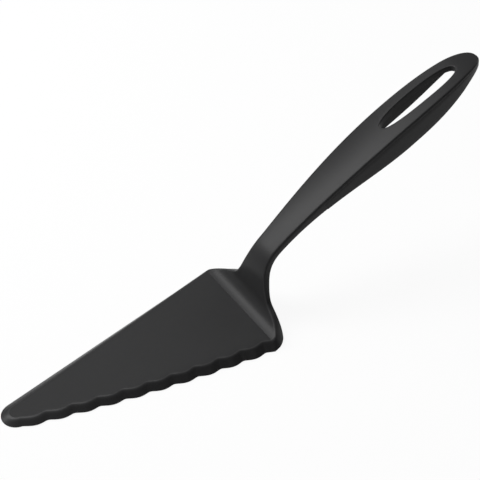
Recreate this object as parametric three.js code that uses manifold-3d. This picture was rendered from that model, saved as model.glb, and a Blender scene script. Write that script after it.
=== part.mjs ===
// A moulded nylon cake knife: a scalloped blade, a bent spine that turns up from it, and a hollow grip.
// Millimetres. +Z is up, +X points to the tip and +Y to the scalloped edge. The blade lies flat on z = 0.
import * as THREE from "three";
import { mergeVertices } from "three/addons/utils/BufferGeometryUtils.js";
import Module from "manifold-3d";

// Blade: a wedge whose flanks run outwards below its top face.
const bladeLength = 124.8; // heel line to the tip of the top face
const heelNear = 27.7; // centre line to the line of the scallops' valleys, at the heel
const heelFar = 30.05; // centre line to the straight edge, at the heel
const tipRadius = 4.3;
const tipShift = -0.2; // sideways place of the tip's centre
const edgeBow = 2.5; // how far the scalloped edge bows out between heel and tip
const bevel = 2.85; // run of the flank, from the top face's corner to the foot
const heelThickness = 4.8;
const tipThickness = 2.2;
const edgeRound = 0.8; // rounding of the corner round the top face
const edgeLand = 0.4; // upright strip at the foot of the flank
const scallopCount = 10;
const scallopDepth = 1.3;
const scallopPart = 0.38; // share of one more scallop, which the heel line cuts off
const valleySoftness = 0.3; // 0 gives pointed valleys, 1 an even wave

// Spine: its top line is a chain of arcs. Each has the slope that it ends at, and a radius or a length.
const heelRadius = 6.3;
const neckSteep = 84; // degrees, as are the next four
const neckTop = 71.95;
const handleRise = 39.5;
const archEnd = 20;
const tailEnd = 6;
const neckRadius = 87.3;
const bendRadius = 20.35;
const handleLength = 139.4; // from the end of the neck's bend
const tailLength = 16.9; // last part of the handle, which levels out
const wingRise = 27.35; // degrees, slope of the heel's free edges
const wingBlend = 1.7; // softness of the corner between a wing and the neck
const flareRadius = 43.7;
const neckHalf = 6.83;
const neckThickness = 3.25;
const bendThickness = 3.6; // where the neck's bend ends and the handle starts
const leanRun = 8.9; // length over which the blade's flank stands up into the heel's edge
const heelFullness = 3.8; // 2 gives a round underside to the heel's bend, more a squarer one
const neckDraft = 0.5; // how far the sides of the heel and the neck draw in towards their underside

// Handle, with lengths measured along the spine from the end of the neck's bend.
const fullestAt = 84.7; // where the handle is widest and deepest
const gripHalf = 10.9;
const gripDepth = 13;
const endDepth = 3.6;
const gripRound = 1; // rounding of the bottom corners
const handleRound = 1.5; // rounding along the top corners
const skirtWall = 2.2; // wall of the grip, which is hollow and open underneath
const crownRise = 0.6;
const swellPower = 1.3; // how late the handle widens after the neck
const endFullness = 2.6; // 2 gives an elliptical end
const bellyTaper = 1.44; // how early the grip thins towards its end
const gripStart = 32;
const slotFront = 77.9; // front end of the hanging slot
const slotWidest = 102.6;
const slotEndWall = 13.9; // left between the slot and the handle's end
const slotHalf = 5.3;
const slotFullness = 2.45;

// Joints between the pieces.
const partingDepth = 1.6; // from the handle's top corner down to the line between spine and grip
const panelDepth = 3.2; // the spine's thickness between the grip's walls
const seam = 0.15; // open line between two faces that meet
const fitClearance = 0.2; // round tongue, panel and pegs
const tongueLength = 20;
const tongueHalf = 18;
const tongueThickness = 1.7;
const tongueCorner = 4;
const pegCount = 2;
const pegFirst = 46; // place along the handle of the peg nearest the blade
const pegSpacing = 18;
const pegRadius = 1.6;
const ribLength = 6.4; // of the ribs that tie the grip's walls and take the pegs
const ribHeight = 3.4;

// Place of the frame: its origin is on the blade's underside, this far in front of the heel line.
const restPoint = 60;

// Fineness of the facets.
const scallopSteps = 10;
const tipSteps = 14;
const cornerSteps = 3;
const tongueSteps = 6;
const crownSteps = 6;
const slotSteps = 48;
const pegSides = 24;
const bendSteps = [9, 6, 7];
const swellSteps = 16;
const endSteps = 14;
const endShare = 0.998; // the last section stands this close to the handle's end, and a flat face closes it

const reach = 40; // cutting tools run this far past what they cut
const roundShare = 1 / 3; // a corner's rounding takes no more of the half width than this
const radians = THREE.MathUtils.degToRad;
const mix = THREE.MathUtils.lerp;
const ease = THREE.MathUtils.smoothstep;

const nylon = { color: 0x2b2b2c, roughness: 0.5, metalness: 0 };

const wasm = await Module();
wasm.setup();

function solidOf(geometry) {
  const bare = geometry.clone();
  bare.deleteAttribute("normal");
  bare.deleteAttribute("uv");
  const merged = mergeVertices(bare);
  const vertProperties = new Float32Array(merged.attributes.position.array);
  const triVerts = new Uint32Array(merged.index.array);
  return new wasm.Manifold(new wasm.Mesh({ numProp: 3, vertProperties, triVerts }));
}

function meshOf(name, solid) {
  const { vertProperties, triVerts } = solid.getMesh();
  const geometry = new THREE.BufferGeometry();
  geometry.setAttribute("position", new THREE.BufferAttribute(vertProperties, 3));
  geometry.setIndex(new THREE.BufferAttribute(triVerts, 1));
  geometry.computeVertexNormals();
  const mesh = new THREE.Mesh(geometry, new THREE.MeshStandardMaterial(nylon));
  mesh.name = name;
  return mesh;
}

// Joins rings of equally many points into a closed solid. Each ring turns right-handed about the way along.
// The first and last rings are also given flat, for the two end faces.
function loft(rings, firstFlat, lastFlat) {
  const count = rings[0].length;
  const index = [];
  for (let ring = 0; ring + 1 < rings.length; ring++) {
    for (let i = 0; i < count; i++) {
      const next = (i + 1) % count;
      const low = ring * count;
      const high = low + count;
      index.push(low + i, low + next, high + next, low + i, high + next, high + i);
    }
  }
  const last = (rings.length - 1) * count;
  const facesOf = (flat) => THREE.ShapeUtils.triangulateShape(flat, []);
  facesOf(firstFlat).forEach(([a, b, c]) => index.push(a, c, b));
  facesOf(lastFlat).forEach(([a, b, c]) => index.push(last + a, last + b, last + c));
  return solidOf(new THREE.BufferGeometry().setFromPoints(rings.flat()).setIndex(index));
}

// Blade

// The point where a line from outside touches a circle. side is 1 for the circle's left and -1 for its right.
function touchPoint(from, centre, radius, side) {
  const across = centre.clone().sub(from);
  const angle = across.angle() + side * Math.asin(radius / across.length());
  const length = Math.sqrt(across.lengthSq() - radius * radius);
  return new THREE.Vector2(Math.cos(angle), Math.sin(angle)).multiplyScalar(length).add(from);
}

// Height of the scalloped wave, from 0 in a valley to 1 on a crest, at a count of scallops from a valley.
function scallopWave(turns) {
  const swing = Math.hypot(Math.sin(Math.PI * turns), valleySoftness) - valleySoftness;
  return swing / (Math.hypot(1, valleySoftness) - valleySoftness);
}

// The blade's outline in plan, moved outwards by offset: straight edge, tip, then the scalloped edge.
function bladeOutline(offset) {
  const centre = new THREE.Vector2(bladeLength - tipRadius, tipShift);
  const radius = tipRadius + offset;
  const farHeel = new THREE.Vector2(0, -heelFar - offset);
  const nearHeel = new THREE.Vector2(0, heelNear + offset);
  const farTouch = touchPoint(farHeel, centre, radius, -1);
  const nearTouch = touchPoint(nearHeel, centre, radius, 1);
  const points = [farHeel];
  const from = farTouch.clone().sub(centre).angle() - 2 * Math.PI;
  const to = nearTouch.clone().sub(centre).angle();
  for (let i = 0; i < tipSteps; i++) {
    const angle = mix(from, to, i / tipSteps);
    points.push(new THREE.Vector2(Math.cos(angle), Math.sin(angle)).multiplyScalar(radius).add(centre));
  }
  const turns = scallopCount + scallopPart;
  const steps = Math.round(scallopSteps * turns);
  for (let i = 0; i <= steps; i++) {
    const along = i / steps;
    const point = nearTouch.clone().lerp(nearHeel, along);
    point.y += 4 * edgeBow * along * (1 - along);
    point.y += scallopDepth * scallopWave(along * turns);
    points.push(point);
  }
  return points;
}

const thicknessAt = (x) => mix(heelThickness, tipThickness, x / bladeLength);

const bladeCorner = bladeOutline(0);
const heelEdge = { far: -bladeCorner[0].y, near: bladeCorner.at(-1).y };

function bladeBody() {
  const inner = bladeOutline(-edgeRound);
  const foot = bladeOutline(bevel);
  const rings = [0, edgeLand].map((z) => foot.map((p) => new THREE.Vector3(p.x, p.y, z)));
  for (let step = cornerSteps; step >= 0; step--) {
    const w = step / cornerSteps;
    const ring = bladeCorner.map((corner, i) => {
      const share = edgeRound / (thicknessAt(corner.x) - edgeLand);
      const below = corner.clone().lerp(foot[i], share);
      const point = new THREE.Vector2();
      point.addScaledVector(inner[i], (1 - w) ** 2);
      point.addScaledVector(corner, 2 * w * (1 - w));
      point.addScaledVector(below, w ** 2);
      return new THREE.Vector3(point.x, point.y, thicknessAt(point.x) - edgeRound * w ** 2);
    });
    rings.push(ring);
  }
  const flat = rings.map((ring) => ring.map((p) => new THREE.Vector2(p.x, p.y)));
  return loft(rings, flat[0], flat.at(-1));
}

// The spine's tongue, grown by a clearance when it cuts the blade's socket.
function tongueBody(clearance) {
  const front = tongueLength + clearance;
  const half = tongueHalf + clearance;
  const root = -heelThickness / 2; // inside the heel, so that tongue and heel are one
  const shape = new THREE.Shape();
  shape.moveTo(root, -half);
  shape.lineTo(front - tongueCorner, -half);
  shape.absarc(front - tongueCorner, -half + tongueCorner, tongueCorner, -Math.PI / 2, 0);
  shape.absarc(front - tongueCorner, half - tongueCorner, tongueCorner, 0, Math.PI / 2);
  shape.lineTo(root, half);
  const depth = tongueThickness + 2 * clearance;
  const plate = new THREE.ExtrudeGeometry(shape, { depth, bevelEnabled: false, curveSegments: tongueSteps });
  return solidOf(plate.translate(0, 0, (heelThickness - depth) / 2));
}

// Spine and grip share one outer body, swept along the chain of arcs.

const slopes = [0, neckSteep, neckTop, handleRise, archEnd, tailEnd].map(radians);
const turns = slopes.slice(1).map((slope, i) => slope - slopes[i]);
const bends = [heelRadius, neckRadius, bendRadius].map((radius, i) => radius * Math.abs(turns[i]));
const lengths = [...bends, handleLength - tailLength, tailLength];
const arcs = lengths.map((length, i) => ({ length, slope: slopes[i], radius: length / turns[i] }));
const heelLength = bends[0];
const handleStart = bends[0] + bends[1] + bends[2];
const spineLength = handleStart + handleLength;

// Place and slope of the top line at a distance from the heel line. Past its end the line runs on straight.
function stationAt(distance) {
  let x = 0;
  let z = heelThickness;
  let slope = 0;
  let left = distance;
  for (const arc of arcs) {
    const length = THREE.MathUtils.clamp(left, 0, arc.length);
    slope = arc.slope + length / arc.radius;
    x -= arc.radius * (Math.sin(slope) - Math.sin(arc.slope));
    z -= arc.radius * (Math.cos(slope) - Math.cos(arc.slope));
    left -= arc.length;
    if (left <= 0) break;
  }
  const past = Math.max(0, distance - spineLength);
  x -= past * Math.cos(slope);
  z += past * Math.sin(slope);
  return { x, z, slope };
}

// A point of the section at a station: y across, h along the section's upward normal.
function sectionPoint({ x, z, slope }, y, h) {
  return new THREE.Vector3(x + h * Math.sin(slope), y, z + h * Math.cos(slope));
}

const neckHeight = stationAt(handleStart).z;

// Larger of two values, rounded where they cross.
const softMax = (a, b) => (a + b + Math.hypot(a - b, wingBlend)) / 2;

// Half width of the handle, less an inset, at a distance from the end of the neck's bend.
function handleHalf(along, inset) {
  if (along < fullestAt) {
    const swell = Math.sin((Math.PI / 2) * (along / fullestAt)) ** swellPower;
    return mix(neckHalf, gripHalf, swell) - inset;
  }
  const share = Math.min(1, (along - fullestAt) / (handleLength - inset - fullestAt));
  return (gripHalf - inset) * (1 - share ** endFullness) ** (1 / endFullness);
}

// Half width of heel, neck and handle on the side where the blade's heel has the half width heelHalf.
function halfWidth(distance, heelHalf) {
  if (distance > handleStart) return handleHalf(distance - handleStart, 0);
  const { z } = stationAt(distance);
  const wing = heelHalf - (z - heelThickness) / Math.tan(radians(wingRise));
  const flare = neckHalf + (neckHeight - z) ** 2 / (2 * flareRadius);
  return Math.min(heelHalf, softMax(wing, flare));
}

// Thickness square to the top line. The heel's underside is a superellipse about the bend's centre.
function depthAt(distance) {
  const along = distance - handleStart;
  if (distance < heelLength) {
    const angle = distance / heelRadius;
    const behind = Math.sin(angle) / Math.sin(slopes[1]) / (heelRadius + neckThickness);
    const under = Math.cos(angle) / (heelRadius + heelThickness);
    return (behind ** heelFullness + under ** heelFullness) ** (-1 / heelFullness) - heelRadius;
  }
  if (along < 0) return mix(neckThickness, bendThickness, ease(distance, heelLength, handleStart));
  if (along < fullestAt) return mix(bendThickness, gripDepth, ease(along, 0, fullestAt));
  const share = Math.min(1, (along - fullestAt) / (handleLength - fullestAt));
  return mix(endDepth, gripDepth, (1 - share ** endFullness) ** bellyTaper);
}

// One side of a section from its top corner to its bottom corner, with half width, depth and lean outwards.
function flankPoints(half, depth, lean, topRound, bottomRound) {
  const top = Math.min(topRound, half * roundShare);
  const wall = (h) => half + (lean * -h) / depth;
  const points = [];
  for (let i = 0; i <= cornerSteps; i++) {
    const w = i / cornerSteps;
    const y = (1 - w) ** 2 * (half - top) + 2 * w * (1 - w) * half + w ** 2 * wall(-top);
    points.push([y, -top * w ** 2]);
  }
  for (let i = 0; i <= cornerSteps; i++) {
    const w = i / cornerSteps;
    const rise = bottomRound * (1 - w) ** 2;
    const y = (1 - w) ** 2 * wall(bottomRound - depth) + 2 * w * (1 - w) * wall(-depth);
    points.push([y + w ** 2 * (wall(-depth) - bottomRound), rise - depth]);
  }
  return points;
}

// Section of the whole outside as [y, h] pairs: crowned top, near flank, then far flank.
function outerSection(distance) {
  const near = halfWidth(distance, heelEdge.near);
  const far = halfWidth(distance, heelEdge.far);
  const depth = depthAt(distance);
  const stand = ease(distance, 0, leanRun);
  const lean = mix(bevel, -neckDraft, stand) * (1 - ease(distance, heelLength, handleStart));
  const topRound = mix(edgeRound, handleRound, ease(distance, heelLength, handleStart));
  const bottomRound = mix(edgeLand, Math.min(gripRound, near * roundShare), stand);
  const nearFlank = flankPoints(near, depth, lean, topRound, bottomRound);
  const farFlank = flankPoints(far, depth, lean, topRound, bottomRound).map(([y, h]) => [-y, h]);
  const crown = crownRise * ease(distance, heelLength, handleStart) * (near / gripHalf) ** 2;
  const ring = [];
  for (let i = 1; i < crownSteps; i++) {
    const y = mix(farFlank[0][0], nearFlank[0][0], i / crownSteps);
    const across = (2 * i) / crownSteps - 1;
    ring.push([y, crown * (1 - across ** 2)]);
  }
  return [...ring, ...nearFlank, ...farFlank.reverse()];
}

// Distances along the handle that crowd together towards its end.
function handleStations(from, to) {
  const widest = handleStart + fullestAt;
  const stations = [];
  for (let k = 0; k <= swellSteps; k++) stations.push(mix(from, widest, k / swellSteps));
  for (let k = 1; k <= endSteps; k++) {
    const share = Math.min(endShare, Math.sin((Math.PI / 2) * (k / endSteps)));
    stations.push(mix(widest, to, share));
  }
  return stations;
}

function outerStations() {
  const stations = [seam];
  let start = 0;
  bendSteps.forEach((steps, i) => {
    for (let k = 1; k <= steps; k++) stations.push(start + (arcs[i].length * k) / steps);
    start += arcs[i].length;
  });
  return [...stations, ...handleStations(handleStart, spineLength).slice(1)];
}

// A solid swept along the spine's line. outlineAt gives each section as [y, h] pairs.
function sweep(distances, outlineAt) {
  const outlines = distances.map(outlineAt);
  const rings = outlines.map((outline, i) => {
    const station = stationAt(distances[i]);
    return outline.map(([y, h]) => sectionPoint(station, y, h));
  });
  const flat = (outline) => outline.map(([y, h]) => new THREE.Vector2(h, y));
  return loft(rings, flat(outlines[0]), flat(outlines.at(-1)));
}

// A swept bar of rectangular section between two heights, as wide as halfAt says.
function bar(distances, halfAt, high, low) {
  return sweep(distances, (distance) => {
    const half = halfAt(distance);
    return [[-half, high], [half, high], [half, low], [-half, low]];
  });
}

const gripFront = handleStart + gripStart;
const bottom = -2 * gripDepth; // lower than the grip anywhere

// Everything under the parting line from the grip's front end on, pulled back by a gap.
function underside(gap) {
  const distances = handleStations(gripFront + gap, spineLength + reach);
  return bar(distances, () => reach, -partingDepth - gap, bottom);
}

// A bar inside the handle that keeps an inset from its outside.
function coreBody(inset, high, low) {
  const distances = handleStations(gripFront - partingDepth, spineLength - inset);
  return bar(distances, (distance) => handleHalf(distance - handleStart, inset), high, low);
}

// Sets a shape that was made about the origin square to the top line, at a distance along the handle.
function setOnHandle(geometry, along) {
  const { x, z, slope } = stationAt(handleStart + along);
  return solidOf(geometry.rotateY(slope).translate(x, 0, z));
}

const pegPlaces = Array.from({ length: pegCount }, (_, i) => pegFirst + i * pegSpacing);
const union = (solids) => solids.reduce((all, solid) => all.add(solid));

// Pegs from inside the spine's panel to the foot of the ribs, grown by a clearance for their holes.
function pegBodies(clearance) {
  const radius = pegRadius + clearance;
  const length = panelDepth + ribHeight - partingDepth + clearance;
  const pegs = pegPlaces.map((place) => {
    const peg = new THREE.CylinderGeometry(radius, radius, length, pegSides);
    return setOnHandle(peg.rotateX(Math.PI / 2).translate(0, 0, -partingDepth - length / 2), place);
  });
  return union(pegs);
}

function ribBodies() {
  const height = ribHeight - seam;
  const ribs = pegPlaces.map((place) => {
    const rib = new THREE.BoxGeometry(ribLength, 2 * handleHalf(place, skirtWall / 2), height);
    return setOnHandle(rib.translate(0, 0, -panelDepth - seam - height / 2), place);
  });
  return union(ribs);
}

// The hanging slot: a long egg, blunter towards the handle's end.
function slotBody() {
  const bulge = (value) => Math.sign(value) * Math.abs(value) ** (2 / slotFullness);
  const points = Array.from({ length: slotSteps }, (_, i) => {
    const angle = (2 * Math.PI * i) / slotSteps;
    const length = Math.cos(angle) > 0 ? slotWidest - slotFront : handleLength - slotEndWall - slotWidest;
    return new THREE.Vector2(length * bulge(Math.cos(angle)), slotHalf * bulge(Math.sin(angle)));
  });
  const depth = 2 * reach;
  const prism = new THREE.ExtrudeGeometry(new THREE.Shape(points), { depth, bevelEnabled: false });
  return setOnHandle(prism.translate(0, 0, -reach), slotWidest);
}

// Assembly

const outer = sweep(outerStations(), outerSection);
const slot = slotBody();

const blade = bladeBody().subtract(tongueBody(fitClearance));

const panel = coreBody(skirtWall + fitClearance, -partingDepth / 2, -panelDepth);
const strip = outer.subtract(underside(0)).add(panel);
const spine = strip.add(pegBodies(0)).add(tongueBody(0)).subtract(slot);

const walls = outer.intersect(underside(seam)).subtract(coreBody(skirtWall, 0, bottom));
const grip = walls.add(ribBodies()).subtract(pegBodies(fitClearance));

const knife = new THREE.Group();
knife.add(meshOf("blade", blade), meshOf("spine", spine), meshOf("grip", grip));
knife.children.forEach((mesh) => mesh.geometry.translate(-restPoint, 0, 0));

export default knife;
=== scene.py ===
import math

import bmesh
import bpy
import numpy as np
from mathutils import Matrix, Vector


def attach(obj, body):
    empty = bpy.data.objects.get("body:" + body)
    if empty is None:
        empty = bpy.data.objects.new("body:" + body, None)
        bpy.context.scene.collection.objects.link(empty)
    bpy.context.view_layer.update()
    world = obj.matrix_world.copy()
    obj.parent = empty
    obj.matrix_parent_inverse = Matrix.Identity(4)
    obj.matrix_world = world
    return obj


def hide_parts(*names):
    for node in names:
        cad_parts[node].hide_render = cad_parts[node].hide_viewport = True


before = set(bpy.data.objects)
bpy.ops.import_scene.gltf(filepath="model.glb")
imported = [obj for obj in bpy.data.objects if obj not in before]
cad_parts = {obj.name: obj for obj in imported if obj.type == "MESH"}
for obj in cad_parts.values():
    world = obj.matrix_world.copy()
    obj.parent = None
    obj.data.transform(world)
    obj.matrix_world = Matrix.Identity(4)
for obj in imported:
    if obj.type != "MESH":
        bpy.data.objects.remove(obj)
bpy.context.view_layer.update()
scene = bpy.context.scene
mm = 0.001


class Wire:  # a node socket that takes part in sums and adds nodes to its tree
    def __init__(self, tree, socket=None):
        self.tree = tree
        self.socket = socket

    def make(self, kind, settings=None, links=None, out=0):
        node = self.tree.nodes.new(kind)
        for key, value in (settings or {}).items():
            setattr(node, key, value)
        for key, value in (links or {}).items():
            if isinstance(value, Wire):
                self.tree.links.new(value.socket, node.inputs[key])
            else:
                node.inputs[key].default_value = value
        return Wire(self.tree, node.outputs[out] if len(node.outputs) else None)

    def math(self, operation, *values):
        return self.make("ShaderNodeMath", {"operation": operation}, dict(enumerate(values)))

    def __add__(self, other):
        return self.math("ADD", self, other)

    def __radd__(self, other):
        return self.math("ADD", other, self)

    def __sub__(self, other):
        return self.math("SUBTRACT", self, other)

    def __rsub__(self, other):
        return self.math("SUBTRACT", other, self)

    def __mul__(self, other):
        return self.math("MULTIPLY", self, other)

    def __rmul__(self, other):
        return self.math("MULTIPLY", other, self)

    def __truediv__(self, other):
        return self.math("DIVIDE", self, other)

    def clamp(self):
        return self.make("ShaderNodeClamp", {}, {0: self, 1: 0.0, 2: 1.0})

    def above(self, other):
        return self.math("GREATER_THAN", self, other)

    def square(self):
        return self.math("MULTIPLY", self, self)

    def root(self):
        return self.math("SQRT", self)


# Finish

nylonLook = {
    "color": (0.0260, 0.0260, 0.0266),
    # lighter edge colour: real edge wear and a painted highlight along the rims
    "rubAndHighlightColor": (0.066, 0.066, 0.067),
    "roughness": 0.34,
    "roughnessSwing": 0.06,
    "specular": 0.10,
    "grainPerMetre": 2600,
    "grainDepth": 0.000012,
    "flowPerMetre": 34,
    "mottlePerMetre": 190,
}


def nylonMaterial(name, look):
    material = bpy.data.materials.new(name)
    material.use_nodes = True
    tree = material.node_tree
    tree.nodes.clear()
    wire = Wire(tree)
    place = wire.make("ShaderNodeTexCoord", out="Object")
    # edge attribute: wear and a painted highlight above zero, a painted shade below zero
    wear = wire.make("ShaderNodeAttribute", {"attribute_name": "wear"}, out="Fac")

    def noise(scale, detail):
        return wire.make("ShaderNodeTexNoise", {}, {"Vector": place, "Scale": scale, "Detail": detail})

    flow = noise(look["flowPerMetre"], 2.0)
    mottle = noise(look["mottlePerMetre"], 4.0)
    grain = noise(look["grainPerMetre"], 2.0)
    pits = wire.make("ShaderNodeTexVoronoi", {}, {"Vector": place, "Scale": look["grainPerMetre"] * 0.45})
    # edges lighten towards the lighter edge colour: partly real wear, partly a painted highlight on the rims
    rubAndHighlight = (wear * (0.35 + 0.9 * mottle)).clamp()
    paintedShadeInside = (0 - wear).clamp()  # hidden inner faces carry the attribute below zero, which marks them for painted shade
    # random tone, times a painted shade that darkens the inner faces to 40 percent
    toneAndPaintedShade = (0.90 + 0.12 * flow + 0.08 * mottle) * (1 - 0.6 * paintedShadeInside)
    base = wire.make("ShaderNodeVectorMath", {"operation": "SCALE"}, {0: look["color"], "Scale": toneAndPaintedShade})
    mixed = wire.make("ShaderNodeMix", {"data_type": "RGBA"}, {
        "Factor": rubAndHighlight * 0.6, 6: base, 7: (*look["rubAndHighlightColor"], 1)}, out=2)
    swing = look["roughnessSwing"] * (0.6 * flow + 0.4 * mottle - 0.5)
    roughness = look["roughness"] + swing - 0.06 * rubAndHighlight + 0.22 * paintedShadeInside
    height = 0.7 * grain + 0.3 * pits
    bump = wire.make("ShaderNodeBump", {}, {
        "Strength": 0.35, "Distance": look["grainDepth"], "Height": height})
    shader = wire.make("ShaderNodeBsdfPrincipled", {}, {
        "Base Color": mixed, "Roughness": roughness, "Specular IOR Level": look["specular"],
        "IOR": 1.5, "Normal": bump})
    wire.make("ShaderNodeOutputMaterial", {}, {"Surface": shader})
    return material


nylon = nylonMaterial("mattBlackNylon", nylonLook)
print("finish ready")


# Meshes

def plainMesh(obj):  # what the modifiers make, as a mesh of its own
    bpy.context.view_layer.update()
    made = obj.evaluated_get(bpy.context.evaluated_depsgraph_get())
    mesh = bpy.data.meshes.new_from_object(made, preserve_all_data_layers=True,
                                           depsgraph=bpy.context.evaluated_depsgraph_get())
    obj.modifiers.clear()
    obj.data = mesh
    return obj


def linked(name, mesh):
    obj = bpy.data.objects.new(name, mesh)
    scene.collection.objects.link(obj)
    return obj


def meshFrom(name, points, faces, wear):
    mesh = bpy.data.meshes.new(name)
    mesh.from_pydata([tuple(p) for p in points], [], faces)
    # the edge attribute: wear and a painted highlight above zero, a painted shade below zero
    mesh.attributes.new("wear", "FLOAT", "POINT").data.foreach_set("value", np.asarray(wear, np.float32))
    body = bmesh.new()
    body.from_mesh(mesh)
    bmesh.ops.remove_doubles(body, verts=body.verts, dist=0.004 * mm)
    bmesh.ops.dissolve_degenerate(body, edges=body.edges, dist=0.0005 * mm)
    bmesh.ops.recalc_face_normals(body, faces=body.faces)
    body.to_mesh(mesh)
    body.free()
    return linked(name, mesh)


def finishPiece(obj, node, sharp=32):
    mesh = obj.data
    mesh.materials.clear()
    mesh.materials.append(nylon)
    mesh.polygons.foreach_set("use_smooth", np.ones(len(mesh.polygons), bool))
    mesh.set_sharp_from_angle(angle=math.radians(sharp))
    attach(obj, "root")
    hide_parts(node)
    check = bmesh.new()
    check.from_mesh(mesh)
    loose = sum(1 for edge in check.edges if not edge.is_manifold)
    volume = round(check.calc_volume() * 1e6, 2)
    print(obj.name, "faces", len(mesh.polygons), "open edges", loose, "volume cm3", volume)
    check.free()


def combine(obj, other, operation):
    step = obj.modifiers.new(operation.lower(), "BOOLEAN")
    step.operation = operation
    step.solver = "EXACT"
    step.object = other
    plainMesh(obj)
    bpy.data.objects.remove(other)


# Blade: a plate whose flanks and scallops follow a rule, made by a node tree

restPoint = 60.0  # heel line to the frame's origin, mm

bladeSizes = {
    "Length": 124.8,
    "Heel Near": 27.55,
    "Heel Far": 30.4,
    "Tip Radius": 4.3,
    "Tip Shift": -0.2,
    "Edge Bow": 2.5,
    "Flank Run": 3.3,
    "Heel Thickness": 4.8,
    "Tip Thickness": 2.2,
    "Edge Round": 0.95,
    "Foot Round": 0.25,
    "Scallops": 10.38,
    "Scallop Depth": 1.3,
    "Valley Softness": 0.3,
    "Rest Point": restPoint,
    "Tip Share": 14.0,
    "Stations": 290,
    "Section Steps": 60,
}


def plateTree(sizes):
    tree = bpy.data.node_groups.new("scallopedPlate", "GeometryNodeTree")
    tree.interface.new_socket("Geometry", in_out="OUTPUT", socket_type="NodeSocketGeometry")
    for name, value in sizes.items():
        kind = "NodeSocketInt" if isinstance(value, int) else "NodeSocketFloat"
        tree.interface.new_socket(name, in_out="INPUT", socket_type=kind)
    tree.interface.new_socket("Finish", in_out="INPUT", socket_type="NodeSocketMaterial")
    wire = Wire(tree)
    given = tree.nodes.new("NodeGroupInput")
    size = {name: Wire(tree, given.outputs[name]) for name in [*sizes, "Finish"]}
    length, tipRadius, tipShift = size["Length"], size["Tip Radius"], size["Tip Shift"]
    stations, sections = size["Stations"], size["Section Steps"]

    grid = wire.make("GeometryNodeMeshGrid", {}, {
        "Size X": 1.0, "Size Y": 1.0, "Vertices X": stations + 1, "Vertices Y": sections + 1})
    spot = wire.make("GeometryNodeInputPosition")
    split = tree.nodes.new("ShaderNodeSeparateXYZ")
    tree.links.new(spot.socket, split.inputs[0])
    row = (Wire(tree, split.outputs[0]) + 0.5) * stations
    around = (Wire(tree, split.outputs[1]) + 0.5) * 4

    inCap = row.clamp()  # the first row gathers in the middle of the heel face
    share = ((row - 1) / (stations - 1)).clamp()
    climb = 3 * around.clamp() - 3 * (around - 2).clamp()  # up the near flank, down the far one
    side = 1 - 2 * (around - 1).clamp() + 2 * (around - 3).clamp()
    foot, flank, corner = climb.clamp(), (climb - 1).clamp(), (climb - 2).clamp()

    tipCentre = length - tipRadius
    travel = share * (tipCentre + size["Tip Share"])
    turn = ((travel - tipCentre) / size["Tip Share"]).clamp() * (math.pi / 2)
    straight = wire.math("MINIMUM", travel, tipCentre)
    plainX = straight + tipRadius * wire.math("SINE", turn)
    thickness = size["Heel Thickness"] + (size["Tip Thickness"] - size["Heel Thickness"]) * plainX / length

    edgeRound, footRound, run = size["Edge Round"], size["Foot Round"], size["Flank Run"]
    below = run * edgeRound / (thickness - footRound)
    quarter = foot * (math.pi / 2)
    footOffset = run - footRound * (1 - wire.math("SINE", quarter))
    cornerOffset = below * (1 - corner).square() - edgeRound * corner.square()
    offset = footOffset * (1 - flank) + cornerOffset * flank
    footHeight = footRound * (1 - wire.math("COSINE", quarter))
    height = footHeight * (1 - flank) + (thickness - edgeRound * (1 - corner).square()) * flank

    radius = tipRadius + offset
    x = straight + radius * wire.math("SINE", turn)
    arcHalf = radius * wire.math("COSINE", turn)

    def edgeLine(heel, hand):  # straight line from the heel that touches the tip's circle
        drop = tipShift - heel
        reach = (tipCentre.square() + drop.square()).root()
        angle = wire.math("ARCTAN2", drop, tipCentre) + hand * wire.math("ARCSINE", radius / reach)
        touch = (reach.square() - radius.square()).root() * wire.math("COSINE", angle)
        return heel + x * wire.math("TANGENT", angle), touch

    nearLine, nearTouch = edgeLine(size["Heel Near"] + offset, 1)
    farLine, farTouch = edgeLine(-1 * (size["Heel Far"] + offset), -1)
    along = (1 - x / nearTouch).clamp()
    soft = size["Valley Softness"]
    swing = wire.math("SINE", along * size["Scallops"] * math.pi)
    wave = ((swing.square() + soft.square()).root() - soft) / ((1 + soft.square()).root() - soft)
    scalloped = nearLine + 4 * size["Edge Bow"] * along * (1 - along) + size["Scallop Depth"] * wave
    pastNear, pastFar = x.above(nearTouch), x.above(farTouch)
    near = scalloped * (1 - pastNear) + (tipShift + arcHalf) * pastNear
    far = farLine * (1 - pastFar) + (tipShift - arcHalf) * pastFar
    y = far + (near - far) * (side * 0.5 + 0.5)

    middle = (near + far) * 0.5
    capY = middle + (y - middle) * inCap
    capZ = thickness * 0.5 + (height - thickness * 0.5) * inCap
    place = wire.make("ShaderNodeCombineXYZ", {}, {
        0: (x - size["Rest Point"]) * mm, 1: capY * mm, 2: capZ * mm})
    # the rim and foot get a lighter edge: wear and a painted highlight
    rubAndHighlight = 12.2 * corner.square().square() * (1 - corner) + 2 * foot * (1 - foot)  # most at the top rim
    marked = wire.make("GeometryNodeStoreNamedAttribute", {"data_type": "FLOAT", "domain": "POINT"}, {
        "Geometry": grid, "Name": "wear", "Value": rubAndHighlight})  # before the points leave the grid
    plate = wire.make("GeometryNodeSetPosition", {}, {"Geometry": marked, "Position": place})
    merged = wire.make("GeometryNodeMergeByDistance", {}, {"Geometry": plate, "Distance": 0.004 * mm})
    real = wire.make("GeometryNodeRealizeInstances", {}, {"Geometry": merged})
    dressed = wire.make("GeometryNodeSetMaterial", {}, {"Geometry": real, "Material": size["Finish"]})
    wire.make("NodeGroupOutput", {}, {"Geometry": dressed})
    return tree


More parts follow.
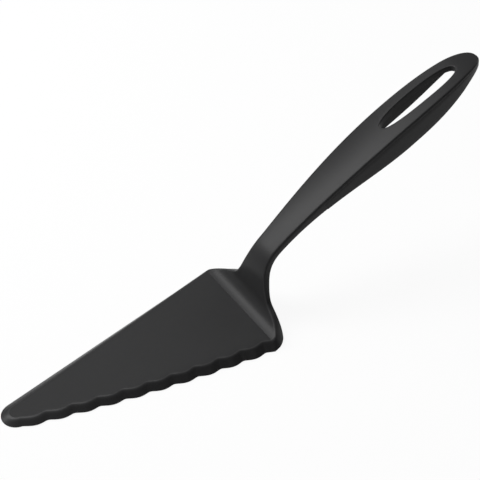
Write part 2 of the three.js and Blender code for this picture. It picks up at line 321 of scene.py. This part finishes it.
def bladePiece(sizes):
    obj = linked("scallopedBlade", bpy.data.meshes.new("scallopedBlade"))
    step = obj.modifiers.new("plate", "NODES")
    step.node_group = plateTree(sizes)
    for socket in step.node_group.interface.items_tree:
        if socket.in_out == "INPUT":
            step[socket.identifier] = nylon if socket.name == "Finish" else sizes[socket.name]
    plainMesh(obj)
    body = bmesh.new()
    body.from_mesh(obj.data)
    bmesh.ops.dissolve_degenerate(body, edges=body.edges, dist=0.0005 * mm)
    bmesh.ops.recalc_face_normals(body, faces=body.faces)
    body.to_mesh(obj.data)
    body.free()
    return obj


# Spine line: the heel, neck and handle lie along a chain of arcs

lineSizes = {
    "heelRadius": 9.6,
    "neckRadius": 272.87,
    "bendRadius": 24.243,
    "handleLength": 139.4,
    "tailLength": 16.9,
    "slopes": (17, 84, 82, 39.5, 20, 6),
    "seam": 0.02,
}

slopes = np.radians(lineSizes["slopes"])
turns = np.diff(slopes)
arcLengths = np.abs(turns) * [lineSizes["heelRadius"], lineSizes["neckRadius"], lineSizes["bendRadius"], 0, 0]
arcLengths[3] = lineSizes["handleLength"] - lineSizes["tailLength"]
arcLengths[4] = lineSizes["tailLength"]
arcRadii = arcLengths / turns
heelLength = arcLengths[0]
handleStart = arcLengths[:3].sum()
handleLength = lineSizes["handleLength"]
seam = lineSizes["seam"]


def lineAt(distance):  # place and slope of the top line, mm
    distance = np.asarray(distance, float)
    x = np.zeros_like(distance)
    z = np.full_like(distance, bladeSizes["Heel Thickness"])
    slope = np.zeros_like(distance)
    left = distance.copy()
    for length, radius, start in zip(arcLengths, arcRadii, slopes):
        part = np.clip(left, 0, length)
        end = start + part / radius
        x -= radius * (np.sin(end) - math.sin(start))
        z -= radius * (np.cos(end) - math.cos(start))
        slope = np.where(left > 0, end, slope)
        left = left - length
    return x, z, slope


def placed(distance, y, h):  # from strip coordinates in mm to the frame in metres
    distance, y, h = np.broadcast_arrays(np.asarray(distance, float), y, h)
    x, z, slope = lineAt(distance)
    slope = slope * ease(distance, seam, 4)  # the rows start upright, flat on the blade's rear face
    return np.stack([x + h * np.sin(slope) - restPoint, y, z + h * np.cos(slope)], -1) * mm


def ease(value, low, high):
    share = np.clip((np.asarray(value, float) - low) / (high - low), 0, 1)
    return share * share * (3 - 2 * share)


def mix(a, b, share):
    return a + (b - a) * share


# Strip: heel, neck and the handle's top. Values under 1 are the near side's, under -1 the far side's

strip = {
    "wingRise": {1: 25.6, -1: 27.35},
    "wingLag": {1: 1.0, -1: 0.55},
    "wingCorner": 0.5,
    "wingBlend": 1.7,
    "flareRadius": 43,
    "neckHalf": 6.9,
    "neckThickness": 3.25,
    "bendThickness": 4.25,
    "thickenRun": 14,
    "leanRun": {1: 7.4, -1: 8.9},
    "heelFullness": 3.8,
    "neckDraft": 0.5,
    "fullestAt": 84.7,
    "gripHalf": 10.9,
    "gripDepth": 13.2,
    "endDepth": 3.1,
    "bottomRound": 1.0,
    "handleRound": 0.8,
    "handleDrop": 1.35,
    "crownRise": 0.6,
    "swellPower": 1.3,
    "endFullness": 2.6,
    "bellyTaper": 1.44,
    "bellyRise": 1.33,
    "gripStart": 32,
    "partingDepth": 1.6,
    "panelDepth": 3.2,
    "skirtWall": 2.55,
    "fitClearance": 0.2,
    "slotFront": 77.9,
    "slotWidest": 102.6,
    "slotEndWall": 13.9,
    "slotHalf": 4.85,
    "slotFullness": 2.45,
    "slotRound": 0.5,
    "ringStart": 66,
    "columns": 24,
    "sideSteps": 84,
}

neckHeight = float(lineAt(np.array([handleStart]))[1][0])
gripFront = handleStart + strip["gripStart"]
endRun = handleLength - strip["fullestAt"]


def scallopAtHeel():
    soft = bladeSizes["Valley Softness"]
    swing = math.hypot(math.sin(math.pi * bladeSizes["Scallops"]), soft) - soft
    return bladeSizes["Scallop Depth"] * swing / (math.hypot(1, soft) - soft)


heelHalves = {1: bladeSizes["Heel Near"] + scallopAtHeel(), -1: bladeSizes["Heel Far"]}


def handleHalf(along, inset):
    along = np.asarray(along, float)
    swell = np.sin(np.pi / 2 * np.clip(along / strip["fullestAt"], 0, 1)) ** strip["swellPower"]
    front = mix(strip["neckHalf"], strip["gripHalf"], swell) - inset
    share = np.clip((along - strip["fullestAt"]) / (endRun - inset), 0, 1)
    full = strip["endFullness"]
    back = (strip["gripHalf"] - inset) * (1 - share ** full) ** (1 / full)
    return np.where(along < strip["fullestAt"], front, back)


def halfWidth(distance, side):
    distance = np.asarray(distance, float)
    heelHalf = heelHalves[side]
    _, z, _ = lineAt(distance)
    drawn = z - bladeSizes["Heel Thickness"] - strip["wingLag"][side]
    drawn = drawn / math.tan(math.radians(strip["wingRise"][side]))
    wing = heelHalf - (drawn + np.hypot(drawn, strip["wingCorner"])) / 2
    flare = strip["neckHalf"] + (neckHeight - z) ** 2 / (2 * strip["flareRadius"])
    joined = (wing + flare + np.hypot(wing - flare, strip["wingBlend"])) / 2
    heel = np.minimum(heelHalf, joined)
    return np.where(distance > handleStart, handleHalf(distance - handleStart, 0), heel)


def depthAt(distance):
    along = np.asarray(distance, float) - handleStart
    radius, full = lineSizes["heelRadius"], strip["heelFullness"]
    angle = np.clip(slopes[0] + (along + handleStart) / radius, slopes[0], slopes[1])
    behind = np.sin(angle) / math.sin(slopes[1]) / (radius + strip["neckThickness"])
    under = np.cos(angle) / (radius * math.cos(slopes[0]) + bladeSizes["Heel Thickness"])
    heel = (behind ** full + under ** full) ** (-1 / full) - radius
    heel = mix(bladeSizes["Heel Thickness"], heel, ease(along + handleStart, 0, 4))
    thicker = strip["bendThickness"] - strip["neckThickness"]
    heel = heel + thicker * ease(along + handleStart, heelLength, heelLength + strip["thickenRun"])
    fuller = ease(along, 0, strip["fullestAt"]) ** strip["bellyRise"]
    front = mix(strip["bendThickness"], strip["gripDepth"], fuller)
    share = np.clip((along - strip["fullestAt"]) / endRun, 0, 1)
    taper = (1 - share ** strip["endFullness"]) ** strip["bellyTaper"]
    back = mix(strip["endDepth"], strip["gripDepth"], taper)
    return np.where(along < 0, heel, np.where(along < strip["fullestAt"], front, back))


def topRound(distance):
    return mix(bladeSizes["Edge Round"], strip["handleRound"], ease(distance, heelLength, handleStart))


def bend(start, control, end, steps):  # points of a rounded corner
    w = np.linspace(0, 1, steps + 1)[:, None]
    return (1 - w) ** 2 * start + 2 * w * (1 - w) * control + w ** 2 * end


cornerSteps = 6
panelInset = strip["skirtWall"] + strip["fitClearance"]


def edgeProfile(distance):  # (inset, height) pairs from the top face's border down and in under the edge
    distance = float(distance)
    top = float(topRound(distance))
    depth = float(depthAt(distance))
    onHandle = float(ease(distance, heelLength, handleStart))
    crownSlope = 2 * strip["crownRise"] / strip["gripHalf"] * onHandle
    drop = mix(top, strip["handleDrop"], onHandle)
    upper = bend(np.array([top, 0]), np.array([0, -crownSlope * top]), np.array([0, -drop]), cornerSteps)
    if distance < gripFront:
        stand = float(ease(distance, 0, strip["leanRun"][-1]))
        low = mix(bladeSizes["Foot Round"], strip["bottomRound"], stand)
        lower = bend(np.array([0, low - depth]), np.array([0, -depth]), np.array([low, -depth]), 4)
    else:
        parting, nick = strip["partingDepth"], 0.12
        lower = np.array([[0, -parting - 0.02 + nick], [nick * 0.3, -parting + nick * 0.3], [nick, -parting],
                          [panelInset, -parting], [panelInset, -strip["panelDepth"]]])
    # rim values lighten the edges: wear and a painted highlight
    wear = np.sin(np.pi * np.linspace(0, 1, len(upper)) ** 0.6) * (1 - 0.8 * onHandle)
    wearLow = np.sin(np.linspace(0, np.pi, len(lower))) * (0.3 if distance < gripFront else 0)
    return np.concatenate([upper, lower]), np.concatenate([wear, wearLow])


def edgePoints(distance, side):  # the profile set on one side of a cross row
    profile, wear = edgeProfile(distance)
    inset, h = profile.T
    step = 0.01
    gain = (halfWidth(distance + step, side) - halfWidth(distance - step, side)) / (2 * step)
    gain = float(gain) * (1 - float(ease(distance, heelLength + arcLengths[1], handleStart)))
    long = math.hypot(gain, 1)
    stand = float(ease(distance, 0, strip["leanRun"][side]))
    lean = mix(bladeSizes["Flank Run"], -strip["neckDraft"], stand)
    lean *= (1 - float(ease(distance, heelLength, handleStart))) * -h / float(depthAt(distance))
    d = distance + inset * gain / long
    y = side * (float(halfWidth(distance, side)) - inset / long + lean)
    return np.stack([d, y, h], -1), wear


def rowRing(distance):  # closed ring of one cross row: top, far edge, underside, near edge
    columns = strip["columns"]
    near, wear = edgePoints(distance, 1)
    far, _ = edgePoints(distance, -1)
    share = np.linspace(0, 1, columns + 1)[:, None]
    top = mix(near[0], far[0], share)
    across = 1 - 2 * share[:, 0]
    half = (near[0, 1] - far[0, 1]) / 2
    crown = strip["crownRise"] * float(ease(distance, heelLength, handleStart))
    crown *= (half / (strip["gripHalf"] - strip["handleRound"])) ** 2
    top[:, 2] = crown * (1 - across ** 2)
    under = mix(far[-1], near[-1], share)
    ring = np.concatenate([top, far[1:-1], under, near[-2:0:-1]])
    flat = np.zeros(columns + 1)
    return ring, np.concatenate([flat, wear[1:-1], flat, wear[-2:0:-1]])


def quads(rows, count, closed):  # faces between rows of a point grid
    faces = []
    last = count if closed else count - 1
    for r in range(rows - 1):
        for i in range(last):
            j = (i + 1) % count
            faces.append((r * count + i, r * count + j, (r + 1) * count + j, (r + 1) * count + i))
    return faces


class Shell:  # gathers point grids into one mesh
    def __init__(self):
        self.points, self.wear, self.faces, self.count = [], [], [], 0

    def add(self, points, wear, faces):
        self.faces += [tuple(i + self.count for i in face) for face in faces]
        self.points.append(np.asarray(points, float))
        self.wear.append(np.broadcast_to(np.asarray(wear, float), len(points)))
        self.count += len(points)

    def grid(self, rows, wears, closed):
        self.add(np.concatenate(rows), np.concatenate(wears), quads(len(rows), len(rows[0]), closed))

    def piece(self, name):
        return meshFrom(name, np.concatenate(self.points), self.faces, np.concatenate(self.wear))


def frontStations():
    parts = [np.linspace(seam, heelLength, 40), heelLength + np.linspace(0, arcLengths[1], 34)[1:]]
    start = heelLength + arcLengths[1]
    parts.append(start + np.linspace(0, arcLengths[2], 24)[1:])
    parts.append(handleStart + np.linspace(0, strip["gripStart"], 22)[1:-1])
    parts.append([gripFront - 0.001, gripFront + 0.001])
    parts.append(handleStart + np.linspace(strip["gripStart"], strip["ringStart"], 24)[1:])
    return np.concatenate(parts)


def sideWay(start, steps):  # even steps along one side, as shares of the front run and the end's turn
    fine = np.linspace(0, 2, 4001)
    a, y = wayPoint(fine, start, 0)
    run = np.concatenate([[0], np.cumsum(np.hypot(np.diff(a), np.diff(y)))])
    return np.interp(np.linspace(0, run[-1], steps + 1), run, fine)


def wayPoint(share, start, inset):
    share = np.asarray(share, float)
    front = mix(start, strip["fullestAt"], np.clip(share, 0, 1))
    turn = (2 - np.clip(share, 1, 2)) * np.pi / 2
    power = 2 / strip["endFullness"]
    a = np.where(share < 1, front, strip["fullestAt"] + (endRun - inset) * np.cos(turn) ** power)
    y = np.where(share < 1, handleHalf(front, inset), (strip["gripHalf"] - inset) * np.sin(turn) ** power)
    return a, np.where(share >= 2, 0, y)


def slotRing(front, count):  # the slot's rim and its outward way, first round the back, then over the front
    power = 2 / strip["slotFullness"]
    angle = np.linspace(0, 2 * np.pi, 8001)
    c, s = np.cos(angle), np.sin(angle)
    back = handleLength - strip["slotEndWall"] - strip["slotWidest"]
    long = np.where(c > 0, strip["slotWidest"] - strip["slotFront"], back)
    a = strip["slotWidest"] - long * np.sign(c) * np.abs(c) ** power
    y = strip["slotHalf"] * np.sign(s) * np.abs(s) ** power
    run = np.concatenate([[0], np.cumsum(np.hypot(np.diff(a), np.diff(y)))])
    nose = run[-1] * 0.055
    ways = np.concatenate([np.linspace(nose, run[-1] - nose, count + 1),
                           run[-1] + np.linspace(-nose, nose, front + 1)[1:-1]]) % run[-1]
    at = np.stack([np.interp(ways, run, a), np.interp(ways, run, y)], -1)
    ahead, behind = (ways + 0.02) % run[-1], (ways - 0.02) % run[-1]
    tangent = np.stack([np.interp(ahead, run, side) - np.interp(behind, run, side) for side in (a, y)], -1)
    normal = np.stack([-tangent[:, 1], tangent[:, 0]], -1)
    normal /= np.linalg.norm(normal, axis=1)[:, None]
    outward = at - [strip["slotWidest"], 0]
    normal *= np.sign((normal * outward).sum(1))[:, None]
    return at, normal


def spinePiece():
    shell = Shell()
    stations = frontStations()
    rings = [rowRing(d) for d in stations]
    shell.grid([placed(*ring.T) for ring, _ in rings], [wear for _, wear in rings], True)
    first = len(rings[0][0])
    shell.faces.append(tuple(range(first)))  # heel face

    columns, steps = strip["columns"], strip["sideSteps"]
    way = sideWay(strip["ringStart"], steps)
    ways = np.concatenate([way, way[-2::-1]])
    sides = np.concatenate([np.ones(steps + 1), -np.ones(steps)])
    lastRing = rings[-1][0]
    edgeCount = len(edgeProfile(stations[-1])[0])
    topRow = lastRing[:columns + 1]
    underRow = lastRing[columns + edgeCount - 1:2 * columns + edgeCount]

    outer, _ = wayPoint(ways, strip["ringStart"], 0)
    profiles = [edgeProfile(handleStart + a) for a in outer]
    edgeRows, edgeWearAndPaintedLight = [], []
    for k in range(edgeCount):
        inset = np.array([p[0][k, 0] for p in profiles])
        h = np.array([p[0][k, 1] for p in profiles])
        points = np.array([wayPoint(w, strip["ringStart"], i) for w, i in zip(ways, inset)])
        edgeRows.append(np.stack([handleStart + points[:, 0], sides * points[:, 1], h], -1))
        edgeWearAndPaintedLight.append(np.array([p[1][k] for p in profiles]))
    shell.grid([placed(*row.T) for row in edgeRows], edgeWearAndPaintedLight, False)

    topBorder = np.concatenate([edgeRows[0], topRow[::-1][1:-1]])
    underBorder = np.concatenate([edgeRows[-1], underRow[1:-1]])
    rim, normal = slotRing(columns, 2 * steps)
    wide, rounding = strip["gripHalf"] - strip["handleRound"], strip["slotRound"]
    borderWay = edgeRows[0][:steps + 1]

    def crownAt(d, y):
        border = np.interp(d, borderWay[:, 0], borderWay[:, 1], right=0)
        return strip["crownRise"] * np.maximum(border ** 2 - y ** 2, 0) / wide ** 2

    def ringAt(inset, h):
        at = rim + normal * inset
        return np.stack([handleStart + at[:, 0], at[:, 1], h * np.ones(len(at))], -1)

    rows, wears = [], []
    inner = ringAt(rounding, 0)
    for share in np.linspace(0, 1, 13):
        row = mix(topBorder, inner, share)
        row[:, 2] = topBorder[:, 2] if share == 0 else crownAt(row[:, 0], row[:, 1])
        rows.append(row)
        wears.append(np.zeros(len(row)))
    level = rows[-1][:, 2]
    for turn in np.linspace(0, np.pi / 2, 7)[1:]:
        row = ringAt(rounding * (1 - math.sin(turn)), 0)
        row[:, 2] = level - rounding * (1 - math.cos(turn))
        rows.append(row)
        # the slot's rounded rim lightens: wear and a painted highlight
        wears.append(np.full(len(row), 0.9 * math.sin(2 * turn)))
    floor = -strip["panelDepth"]
    # from here on the rows get painted shade: the slot's floor and the inside of the underside
    for turn in np.linspace(0, np.pi / 2, 5):
        lip = rounding * 0.6
        rows.append(ringAt(lip * (1 - math.cos(turn)), floor + lip * (1 - math.sin(turn))))
        wears.append(np.full(len(rim), -1.0))
    bottom = rows[-1]
    for share in np.linspace(0, 1, 7)[1:]:
        rows.append(mix(bottom, underBorder, share))
        wears.append(np.full(len(rim), -1.0))
    shell.grid([placed(*row.T) for row in rows], wears, True)
    return shell.piece("handleSpine")


# Joints: tongue in the blade, pegs and ribs under the handle

jointSizes = {
    "tongueLength": 20,
    "tongueHalf": 18,
    "tongueThickness": 1.7,
    "tongueCorner": 4,
    "pegPlaces": (46, 64),
    "pegRadius": 1.6,
    "pegSides": 40,
    "ribLength": 6.4,
    "ribHeight": 3.4,
    "ribRound": 0.5,
}


def tongue(clearance):
    joint = jointSizes
    front, half = joint["tongueLength"] + clearance, joint["tongueHalf"] + clearance
    corner, root = joint["tongueCorner"], -bladeSizes["Heel Thickness"] / 2
    turn = np.linspace(0, np.pi / 2, 13)
    near = np.stack([front - corner + corner * np.sin(turn), half - corner + corner * np.cos(turn)], -1)
    plan = np.concatenate([[[root, half]], near, near[::-1] * [1, -1], [[root, -half]]])
    middle, thick = bladeSizes["Heel Thickness"] / 2, joint["tongueThickness"] / 2 + clearance
    count = len(plan)
    rows = [np.column_stack([plan[:, 0] - restPoint, plan[:, 1], np.full(count, middle + t)]) * mm
            for t in (-thick, thick)]
    shell = Shell()
    shell.grid(rows, [np.zeros(count)] * 2, True)
    shell.faces += [tuple(range(count)), tuple(range(count, 2 * count))]
    return shell.piece("tongue")


def seatOnHandle(along):  # turns a shape's own axes to the handle's line at a place
    x, z, slope = (float(v[0]) for v in lineAt(np.array([handleStart + along])))
    spot = Matrix.Translation(Vector((x - restPoint, 0, z)) * mm)
    return spot @ Matrix.Rotation(slope, 4, "Y")


def pegs(clearance, top):
    joint, body = jointSizes, bmesh.new()
    low = -strip["panelDepth"] - joint["ribHeight"] - clearance
    for place in joint["pegPlaces"]:
        made = bmesh.ops.create_cone(
            body, cap_ends=True, segments=joint["pegSides"], depth=(top - low) * mm,
            radius1=(joint["pegRadius"] + clearance) * mm, radius2=(joint["pegRadius"] + clearance) * mm)
        shift = Matrix.Translation((0, 0, (top + low) / 2 * mm))
        bmesh.ops.transform(body, matrix=seatOnHandle(place) @ shift, verts=made["verts"])
    return fromBody("pegs", body)


def ribs():
    joint, body = jointSizes, bmesh.new()
    height = joint["ribHeight"] - seam
    for place in joint["pegPlaces"]:
        made = bmesh.ops.create_cube(body, size=1)
        wide = 2 * float(handleHalf(place, strip["skirtWall"] / 2))
        size = Matrix.Diagonal((joint["ribLength"] * mm, wide * mm, height * mm, 1))
        drop = Matrix.Translation((0, 0, (-strip["panelDepth"] - seam - height / 2) * mm))
        bmesh.ops.transform(body, matrix=drop @ size, verts=made["verts"])
        low = [e for e in body.edges if e.verts[0] in made["verts"] and
               abs(e.verts[0].co.y - e.verts[1].co.y) > mm]
        rounded = bmesh.ops.bevel(body, geom=low, offset=joint["ribRound"] * mm, segments=4, profile=0.5,
                                  affect="EDGES")
        fresh = set(made["verts"]) | set(rounded["verts"])
        bmesh.ops.transform(body, matrix=seatOnHandle(place), verts=[v for v in fresh if v.is_valid])
    return fromBody("ribs", body)


def fromBody(name, body):
    bmesh.ops.recalc_face_normals(body, faces=body.faces)
    mesh = bpy.data.meshes.new(name)
    body.to_mesh(mesh)
    body.free()
    mesh.attributes.new("wear", "FLOAT", "POINT")
    return linked(name, mesh)


# Grip: a hollow wall that runs down both sides of the handle and round its end

gripSizes = {
    "sideSteps": 120,
    "lipRound": 0.4,
    "innerRound": 0.2,
    "topNick": 0.12,
}


def gripPiece():
    sizes, wall = gripSizes, strip["skirtWall"]
    start, steps = strip["gripStart"] + seam, gripSizes["sideSteps"]
    way = sideWay(start, steps)
    ways = np.concatenate([way, way[-2::-1]])
    sides = np.concatenate([np.ones(steps + 1), -np.ones(steps)])
    along, _ = wayPoint(ways, start, 0)
    depth = depthAt(handleStart + along)
    top, nick = strip["partingDepth"] + seam, sizes["topNick"]
    lip, inner = sizes["lipRound"], sizes["innerRound"]
    zero = np.zeros_like(depth)
    profile = [(nick, zero - top, 0.4),  # inset, height and the edge attribute: wear with a painted highlight above zero, painted shade below
               (nick * 0.3, zero - top - nick * 0.3, 0.6), (0, zero - top - nick, 0.4)]
    for share in np.linspace(0, 1, 5)[1:]:
        profile.append((0, mix(-top - nick, lip - depth, share), 0))
    for turn in np.linspace(0, np.pi / 2, 7)[1:]:
        inset, h = lip * (1 - math.cos(turn)), lip * (1 - math.sin(turn)) - depth
        # the lip lightens: wear and a painted highlight
        profile.append((inset, h, 0.8 * math.sin(2 * turn)))
    for turn in np.linspace(0, np.pi / 2, 4):
        inset, h = wall - inner * (1 - math.sin(turn)), inner * (1 - math.cos(turn)) - depth
        # the inner wall gets painted shade, fading in round the inner corner
        profile.append((inset, h, -2 * turn / np.pi))
    profile.append((wall, zero - top, -1))
    shell = Shell()
    rows, wears = [], []
    for inset, h, wear in profile:
        a, y = wayPoint(ways, start, inset)
        rows.append(placed(handleStart + a, sides * y, h))
        wears.append(np.full(len(ways), wear))
    rows.append(rows[0])
    wears.append(wears[0])
    shell.grid(rows, wears, False)
    count = len(ways)
    for end in (0, count - 1):
        shell.faces.append(tuple(end + k * count for k in range(len(profile))))
    return shell.piece("hollowGrip")


blade = bladePiece(bladeSizes)
combine(blade, tongue(strip["fitClearance"]), "DIFFERENCE")
finishPiece(blade, "blade")

spine = spinePiece()
combine(spine, tongue(0), "UNION")
combine(spine, pegs(0, -strip["partingDepth"]), "UNION")
finishPiece(spine, "spine")

grip = gripPiece()
combine(grip, ribs(), "UNION")
combine(grip, pegs(strip["fitClearance"], 0), "DIFFERENCE")
finishPiece(grip, "grip")
print("pieces ready")


# Floor, light and camera

stageLook = {
    "floorColor": 0.5,
    "floorShown": 0.8,
    "floorGlow": 0.92,
    "world": 0.06,
    "floorHalf": 4.0,
    "floorDrop": 0.3,
}


def whiteRays(wire):  # camera, mirror and see-through rays
    rays = wire.tree.nodes.new("ShaderNodeLightPath")
    seen, mirrored, through = (Wire(wire.tree, rays.outputs[kind]) for kind in (
        "Is Camera Ray", "Is Glossy Ray", "Is Transmission Ray"))
    return (seen + mirrored + through).clamp()


def floorPiece(look):
    half = look["floorHalf"]
    mesh = bpy.data.meshes.new("paleFloor")
    corners = [(-half, -half), (half, -half), (half, half), (-half, half)]
    mesh.from_pydata([(x, y, -look["floorDrop"] * mm) for x, y in corners], [], [(0, 1, 2, 3)])
    material = bpy.data.materials.new("paleFloor")
    material.use_nodes = True
    material.node_tree.nodes.clear()
    wire = Wire(material.node_tree)
    white = whiteRays(wire)
    color = white * (look["floorShown"] - look["floorColor"]) + look["floorColor"]
    matt = wire.make("ShaderNodeBsdfDiffuse", {}, {"Color": color})  # carries the shadow
    glow = wire.make("ShaderNodeEmission", {}, {"Color": (1, 1, 1, 1), "Strength": 1.0})
    surface = wire.make("ShaderNodeMixShader", {}, {0: white * look["floorGlow"], 1: matt, 2: glow})
    wire.make("ShaderNodeOutputMaterial", {}, {"Surface": surface})
    mesh.materials.append(material)
    linked("paleFloor", mesh)


def softWorld(look):
    world = bpy.data.worlds.new("softStudio")
    world.use_nodes = True
    world.node_tree.nodes.clear()
    wire = Wire(world.node_tree)
    glow = wire.make("ShaderNodeBackground", {}, {"Color": (1, 1, 1, 1), "Strength": look["world"]})
    wire.make("ShaderNodeOutputWorld", {}, {"Surface": glow})
    scene.world = world


lampLook = [
    {"name": "keyBox", "heading": 314, "rise": 46, "away": 1.0, "size": (0.34, 0.76), "glow": 11.0},
    {"name": "footBox", "heading": 312, "rise": 13, "away": 1.0, "size": (0.34, 0.36), "glow": 1.5},
    {"name": "highBox", "heading": 285, "rise": 67, "away": 1.0, "size": (0.34, 0.52), "glow": 6.0},
    {"name": "backBox", "heading": 252, "rise": 47, "away": 0.8, "size": (0.26, 0.30), "glow": 1.9},
    {"name": "lowBox", "heading": 90, "rise": 15, "away": 1.0, "size": (0.34, 0.34), "glow": 1.5},
    {"name": "rearBox", "heading": 185, "rise": 30, "away": 1.2, "size": (0.60, 0.45), "glow": 2.6},
]
objectMiddle = Vector((-0.06, 0.0, 0.04))


def headingVector(heading, rise):
    heading, rise = math.radians(heading), math.radians(rise)
    return Vector((math.cos(heading) * math.cos(rise), math.sin(heading) * math.cos(rise), math.sin(rise)))


def softBox(look):
    lamp = bpy.data.lights.new(look["name"], "AREA")
    lamp.shape = "RECTANGLE"
    lamp.size, lamp.size_y = look["size"]
    lamp.energy = look["glow"] * math.pi * lamp.size * lamp.size_y
    obj = bpy.data.objects.new(look["name"], lamp)
    scene.collection.objects.link(obj)
    way = headingVector(look["heading"], look["rise"])
    obj.location = objectMiddle + way * look["away"]
    obj.rotation_euler = way.to_track_quat("Z", "Y").to_euler()


cameraLook = {"at": (0.1656, 0.3439, 0.4092), "heading": 56.673, "pitch": 41.296, "lens": 87.2}


def camera(look):
    data = bpy.data.cameras.new("camera")
    data.lens = look["lens"]
    data.sensor_width = 36
    data.clip_end = 50
    obj = bpy.data.objects.new("camera", data)
    scene.collection.objects.link(obj)
    back = headingVector(look["heading"], look["pitch"])
    right = headingVector(look["heading"] + 90, 0)
    up = back.cross(right)
    turn = Matrix((right, up, back)).transposed().to_4x4()
    obj.matrix_world = Matrix.Translation(look["at"]) @ turn
    scene.camera = obj


floorPiece(stageLook)
softWorld(stageLook)
for lamp in lampLook:
    softBox(lamp)
camera(cameraLook)
scene.view_settings.view_transform = "Standard"
print("stage ready")
